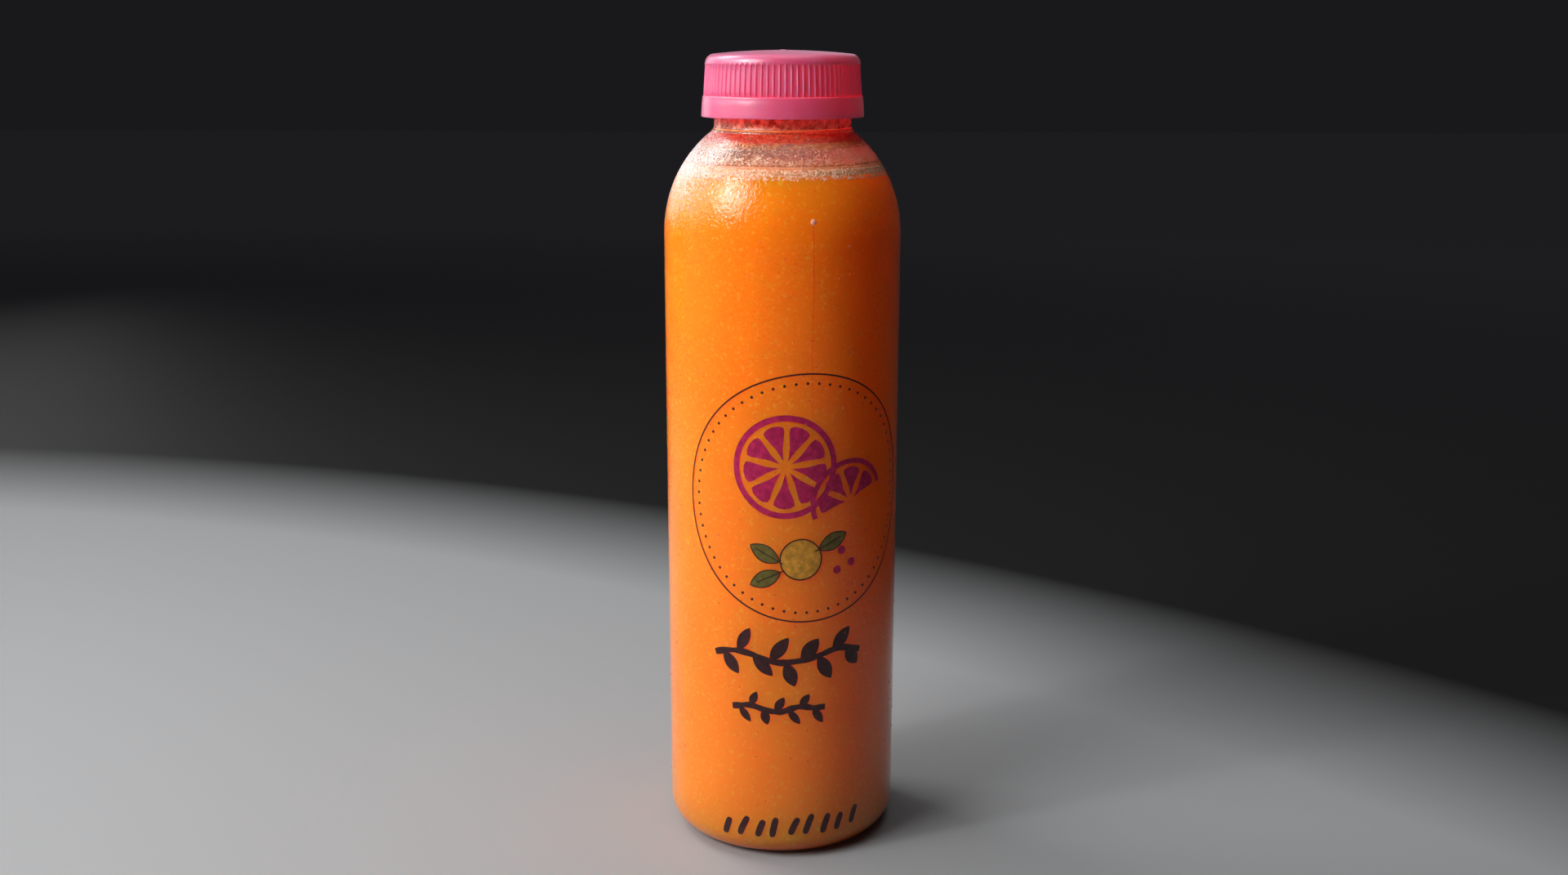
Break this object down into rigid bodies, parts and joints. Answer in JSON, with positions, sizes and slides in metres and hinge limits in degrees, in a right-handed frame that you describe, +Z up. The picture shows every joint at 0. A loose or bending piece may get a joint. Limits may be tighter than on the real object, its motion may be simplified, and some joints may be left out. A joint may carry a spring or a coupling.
{
  "type": "bottle of orange juice",
  "caption": "Round clear plastic bottle with a domed shoulder, ribbed screw cap and tamper band, filled with orange juice under a thin layer of froth.",
  "frame": {"origin": "middle of the base, on the plane that the bottle stands on", "axes": "+Z up along the bottle's axis to the cap; the front that the picture shows faces -Y; +X to its right"},
  "size_m": [0.061, 0.061, 0.2074],
  "materials": {
    "clear_plastic": "thin clear blown plastic, glossy, with fine condensation outside",
    "pink_plastic": "pink moulded plastic, satin, slightly see-through at its thin edges",
    "orange_juice": "cloudy orange liquid, light scatters deep inside it",
    "pale_froth": "pale peach foam of fine bubbles"
  },
  "bodies": {
    "root": {"bottle": "clear_plastic", "cap": "pink_plastic", "tamper_band": "pink_plastic", "juice": "orange_juice", "froth": "pale_froth"}
  },
  "joints": []
}
